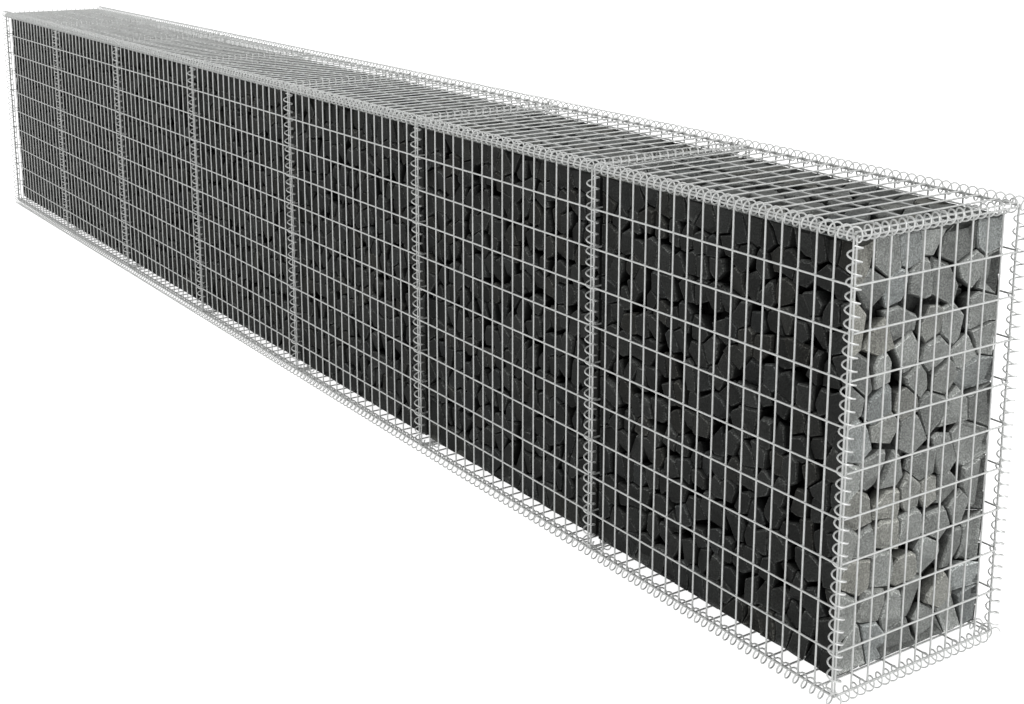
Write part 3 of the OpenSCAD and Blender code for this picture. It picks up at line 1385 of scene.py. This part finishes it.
@dataclass(frozen=True)
class StoneFinish:
    """Split stone, painted light and shade by side: charcoal front and back, mid grey lid and base, paler
    ends.

    Attributes:
        name: Name of the material, and of the record's slot.
        face_painted_shade: Reflectance of the stones on the front and back, a painted shade.
        level_painted_shade: Reflectance of the stones on the lid and base, a lighter painted shade.
        end_painted_light: Reflectance of the stones on the ends, a painted light.
        plain: Tint of most stones.
        cool: Tint of the coolest stones.
        warm: Tint of the warmest stones.
        tone_spread: How much the palest stone differs from the darkest, as a part of the mean.
        speckle_spread: The same for the grain of one stone.
        dust_and_top_light_pale: How much paler dust and painted top light make what faces up, as a part.
        dust_shade: Reflectance that dust and painted top light add.
        chip_and_highlight_pale: How much paler a broken edge is, with a painted highlight along it, as a
            part.
        chip_and_highlight_shade: Reflectance that a broken edge and its painted highlight add.
        chip_and_highlight_power: How closely the chips and their painted highlights keep to the rim.
        underside_painted_shade: Painted shade on what faces down, as how much darker it is, from 0 to 1.
        underside_painted_shade_range: How far a point faces up where its painted shade starts, and where it
            is darkest.
        deep_painted_shade: Painted shade deep in the gaps between the stones, from 0 to 1.
        patch: Size of a slow patch of tone.
        patch_tone: How much the tone differs from patch to patch.
        grain: Size of the grain.
        grain_depth: Depth of the grain.
        grain_strength: Strength of its bump.
        roughness: Least roughness.
        roughness_spread: Roughness that the speckle adds.
        gloss: Strength of the gloss.
    """

    name: str
    face_painted_shade: float = 0.028
    level_painted_shade: float = 0.08
    end_painted_light: float = 0.235
    plain: tuple[float, float, float] = (0.965, 1.0, 0.96)
    cool: tuple[float, float, float] = (0.945, 1.0, 0.985)
    warm: tuple[float, float, float] = (1.0, 1.0, 0.91)
    tone_spread: float = 0.7
    speckle_spread: float = 0.7
    dust_and_top_light_pale: float = 1.2
    dust_shade: float = 0.035
    chip_and_highlight_pale: float = 0.5
    chip_and_highlight_shade: float = 0.06
    chip_and_highlight_power: float = 4.0
    underside_painted_shade: float = 0.5
    underside_painted_shade_range: tuple[float, float] = (-0.2, -0.8)
    deep_painted_shade: float = 0.95
    patch: float = 0.04
    patch_tone: float = 0.3
    grain: float = 0.0034
    grain_depth: float = 0.0012
    grain_strength: float = 0.5
    roughness: float = 0.68
    roughness_spread: float = 0.18
    gloss: float = 0.1

    def material(self, effects: EffectGroups) -> bpy.types.Material:
        """Makes the material.

        Formula: the shade is the side's own painted light and shade, plus what dust with painted top
        light and chips with painted highlights add. It is then scaled by the stone's tone, the speckle,
        the dust and top light, the chips and highlights, the painted shade on what faces down and deep in
        the gaps, and the patches.

        Args:
            effects: The shared node groups.

        Returns:
            The material.
        """
        material, bench, shader = new_material(self.name)
        tone, tint, side, rim, deep = (
            bench.node("ShaderNodeAttribute", attribute_name=mark).outputs["Fac"]
            for mark in ("tone", "tint", "side", "rim", "deep")
        )
        grain = effects.place(bench, effects.grain, Size=self.grain)
        patches = effects.place(bench, effects.mottle, Size=self.patch, Depth=self.patch_tone)
        # Dust, and with it painted top light: what faces up is made paler as if lit from above.
        dust = effects.place(bench, effects.dust, Amount=1.0).outputs["Mask"]
        speckle = grain.outputs["Speckle"]
        # Broken edges, paler and also painted as a highlight along each rim.
        chip_and_highlight = bench.math("MULTIPLY", bench.math("POWER", rim, self.chip_and_highlight_power), speckle)
        # Painted shade on what faces down.
        under = bench.rise(bench.facing_up(), *self.underside_painted_shade_range)
        # Painted light and shade: the front and back stones are made charcoal as if in shade, the ends pale
        # as if lit.
        shades = {
            StoneSide.FACE: self.face_painted_shade,
            StoneSide.LEVEL: self.level_painted_shade,
            StoneSide.END: self.end_painted_light,
        }
        shade = bench.ramp(side, [(place.value, (value,) * 3) for place, value in shades.items()])
        shade = bench.math("MULTIPLY_ADD", dust, self.dust_shade, shade)
        shade = bench.math("MULTIPLY_ADD", chip_and_highlight, self.chip_and_highlight_shade, shade)
        # The under and deep factors paint shade on what faces down and in the gaps.
        for amount, share, start in (
            (tone, self.tone_spread, 1 - self.tone_spread / 2),
            (speckle, self.speckle_spread, 1 - self.speckle_spread / 2),
            (dust, self.dust_and_top_light_pale, 1.0),
            (chip_and_highlight, self.chip_and_highlight_pale, 1.0),
            (under, -self.underside_painted_shade, 1.0),
            (deep, -self.deep_painted_shade, 1.0),
        ):
            shade = bench.math("MULTIPLY", shade, bench.math("MULTIPLY_ADD", amount, share, start))
        shade = bench.math("MULTIPLY", shade, patches.outputs["Factor"])
        tints = [(0.08, self.cool), (0.2, self.plain), (0.8, self.plain), (0.95, self.warm)]
        colour = bench.node("ShaderNodeVectorMath", operation="SCALE")
        bench.feed(colour, at_0=bench.ramp(tint, tints), Scale=shade)
        rough = bench.math("MULTIPLY_ADD", speckle, self.roughness_spread, self.roughness)
        normal = bench.bump(grain.outputs["Height"], self.grain_depth, self.grain_strength)
        bench.feed(shader, Base_Color=colour.outputs["Vector"], Roughness=rough, Normal=normal)
        bench.feed(shader, Specular_IOR_Level=self.gloss)
        return material


# ---------------------------------------------------------------------------------------------------------
# Wall
# ---------------------------------------------------------------------------------------------------------


@dataclass
class GabionWall:
    """The whole wall: panels, spirals and stone, each piece in place of its CAD node.

    Attributes:
        mesh_finish: Finish of the welded mesh.
        spiral_finish: Finish of the spirals.
        stone_finish: Finish of the stone.
        wire_sharp: Bend over which an edge of a wire stays sharp.
        stone_sharp: The same for a stone.
        materials: The material of each finish, under its name.
    """

    mesh_finish: ZincFinish = ZincFinish("mesh_wire", colour=(0.65, 0.66, 0.65), roughness=0.45)
    spiral_finish: ZincFinish = ZincFinish("spiral_wire", colour=(0.7, 0.71, 0.7), roughness=0.4)
    stone_finish: StoneFinish = StoneFinish("stone")
    wire_sharp: float = 1.0
    stone_sharp: float = 0.12
    materials: dict[str, bpy.types.Material] = field(init=False, default_factory=dict)

    def build(self) -> None:
        """Builds the panels, the spirals and the stone, in that order."""
        effects = EffectGroups()
        for finish in (self.mesh_finish, self.spiral_finish, self.stone_finish):
            self.materials[finish.name] = finish.material(effects)
        self._build_panels()
        self._build_spirals()
        self._build_stone()

    def _build_panels(self) -> None:
        """Builds every mesh panel."""
        rows = {
            "front_panel": (PanelPlane.FACE, -1, BAYS),
            "back_panel": (PanelPlane.FACE, 1, BAYS),
            "lid_panel": (PanelPlane.LEVEL, 1, BAYS),
            "base_panel": (PanelPlane.LEVEL, -1, BAYS),
            "partition_panel": (PanelPlane.CROSS, 1, BAYS - 1),
        }
        panels = [
            MeshPanel("left_end_panel", PanelPlane.CROSS, -1),
            MeshPanel("right_end_panel", PanelPlane.CROSS, 1),
        ]
        for name, (plane, outside, count) in rows.items():
            panels += [MeshPanel(f"{name}_{number}", plane, outside) for number in range(1, count + 1)]
        for panel in panels:
            self._dress(panel.build(), panel.node, self.mesh_finish.name, self.wire_sharp)

    def _build_spirals(self) -> None:
        """Builds the spirals along the wall, at each joint and at each end."""
        lacing = Lacing()
        surfaces = {
            "base_front_spiral": lacing.long_spiral(lacing.front, lacing.base),
            "base_back_spiral": lacing.long_spiral(lacing.back, lacing.base),
            "top_front_spiral": lacing.long_spiral(lacing.front, lacing.top),
            "top_back_spiral": lacing.long_spiral(lacing.back, lacing.top),
            "left_end_spirals": lacing.bay_edge("left_end_spirals", -1),
            "right_end_spirals": lacing.bay_edge("right_end_spirals", 1),
        }
        for joint in range(1, BAYS):
            surfaces[f"joint_spirals_{joint}"] = lacing.bay_edge(f"joint_spirals_{joint}", 0)
        for node, surface in surfaces.items():
            self._dress(surface, node, self.spiral_finish.name, self.wire_sharp)

    def _build_stone(self) -> None:
        """Builds the stone of every bay."""
        for bay in range(1, BAYS + 1):
            self._dress(StoneFill(bay).build(), f"stone_fill_{bay}", self.stone_finish.name, self.stone_sharp)

    def _dress(self, surface: Surface, node: str, slot: str, sharp_angle: float) -> None:
        """Makes a piece of a surface and puts it in place of its CAD node.

        Args:
            surface: The piece's surface.
            node: CAD node that it replaces.
            slot: The record's material slot, which is also the material's name.
            sharp_angle: Edges that bend more than this many radians stay sharp.
        """
        piece = surface.to_object(f"{node}_look", sharp_angle)
        piece.data.materials.append(self.materials[slot])
        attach(piece, BODY)
        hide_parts(node)
        triangles = 2 * len(surface.quads) + len(surface.tris)
        log.info("%s: %d triangles", piece.name, triangles)


# ---------------------------------------------------------------------------------------------------------
# Studio
# ---------------------------------------------------------------------------------------------------------


@dataclass
class Studio:
    """The pale floor, the soft light and the camera.

    Attributes:
        floor_half: Half the width of the floor.
        floor_colour: Colour of the floor, which throws some light back at the wall.
        floor_rough: Roughness of the floor.
        floor_glow: Light of the floor itself.
        floor_white: Light that only the picture takes from the floor, so that it stays white in shade.
        horizon: Brightness of the light from all round, at the horizon.
        zenith: The same overhead.
        key_strength: Strength of the large lamp.
        key_height: Angle of the lamp over the floor.
        key_turn: Angle of the lamp from the line of the wall towards its front.
        key_spread: Angle that the lamp fills.
        camera_end: Distance of the camera past the right end of the wall.
        camera_front: Distance of the camera before the front of the wall.
        camera_height: Height of the camera.
        camera_turn: Turn of the camera to the left from straight at the wall.
        camera_dip: Tilt of the camera below level.
        lens: Focal length in millimetres.
        sensor: Width of the sensor in millimetres.
        shift: Vertical shift of the lens, as a part of the picture's width.
    """

    floor_half: float = 60.0
    floor_colour: tuple[float, float, float] = (0.6, 0.6, 0.6)
    floor_rough: float = 0.9
    floor_glow: float = 0.45
    floor_white: float = 0.5
    horizon: float = 1.28
    zenith: float = 0.35
    key_strength: float = 1.1
    key_height: float = math.radians(40)
    key_turn: float = math.radians(-15)
    key_spread: float = math.radians(40)
    camera_end: float = 1.9595
    camera_front: float = 2.1302
    camera_height: float = 1.7098
    camera_turn: float = 0.9792
    camera_dip: float = 0.2093
    lens: float = 51.88
    sensor: float = 36.0
    shift: float = -0.1525

    def build(self) -> None:
        """Builds the floor, the light and the camera."""
        self._build_floor()
        self._build_light()
        self._build_camera()

    def _build_floor(self) -> None:
        """Lays a flat floor under the wall."""
        half = self.floor_half
        corners = np.array([[-half, -half, 0], [half, -half, 0], [half, half, 0], [-half, half, 0]])
        surface = Surface(corners, np.array([[0, 1, 2, 3]]), np.zeros((0, 3), int))
        floor = surface.to_object("studio_floor", math.pi)
        material, bench, shader = new_material("pale_floor")
        seen = bench.node("ShaderNodeLightPath").outputs["Is Camera Ray"]
        glow = bench.math("MULTIPLY_ADD", seen, self.floor_white, self.floor_glow)
        bench.feed(shader, Base_Color=(*self.floor_colour, 1.0), Roughness=self.floor_rough)
        bench.feed(shader, Emission_Color=WHITE, Emission_Strength=glow)
        floor.data.materials.append(material)

    def _build_light(self) -> None:
        """Lights the scene from all round, and with one large soft lamp from the right end."""
        world = bpy.data.worlds.new("soft_light")
        world.use_nodes = True
        bench = NodeBench(world.node_tree)
        seen = bench.node("ShaderNodeLightPath").outputs["Is Camera Ray"]
        way = bench.node("ShaderNodeSeparateXYZ")
        bench.feed(way, at_0=bench.node("ShaderNodeTexCoord").outputs["Generated"])
        height = bench.math("MAXIMUM", way.outputs["Z"], 0.0)
        strength = bench.math("MULTIPLY_ADD", height, self.zenith - self.horizon, self.horizon)
        strength = bench.math("MAXIMUM", strength, seen)
        bench.feed(world.node_tree.nodes["Background"], Color=WHITE, Strength=strength)
        bpy.context.scene.world = world
        lamp_data = bpy.data.lights.new("large_lamp", "SUN")
        lamp_data.energy = self.key_strength
        lamp_data.angle = self.key_spread
        lamp = bpy.data.objects.new("large_lamp", lamp_data)
        lamp.rotation_euler = (math.pi / 2 - self.key_height, 0, math.pi / 2 - self.key_turn)
        bpy.context.scene.collection.objects.link(lamp)

    def _build_camera(self) -> None:
        """Puts the camera past the right end of the wall, before its front."""
        low, high = (np.array(corner) for corner in CAD_BOX)
        data = bpy.data.cameras.new("camera")
        data.sensor_fit = "HORIZONTAL"
        data.sensor_width = self.sensor
        data.lens = self.lens
        data.shift_y = self.shift
        data.clip_end = 4 * self.floor_half
        camera = bpy.data.objects.new("camera", data)
        camera.location = (high[0] + self.camera_end, low[1] - self.camera_front, self.camera_height)
        camera.rotation_euler = (math.pi / 2 - self.camera_dip, 0, self.camera_turn)
        bpy.context.scene.collection.objects.link(camera)
        bpy.context.scene.camera = camera
        bpy.context.scene.view_settings.view_transform = "Standard"


def main() -> None:
    """Builds the studio and the wall."""
    logging.basicConfig(level=logging.INFO, format="%(name)s: %(message)s")
    Studio().build()
    GabionWall().build()


if __name__ == "__main__":
    main()
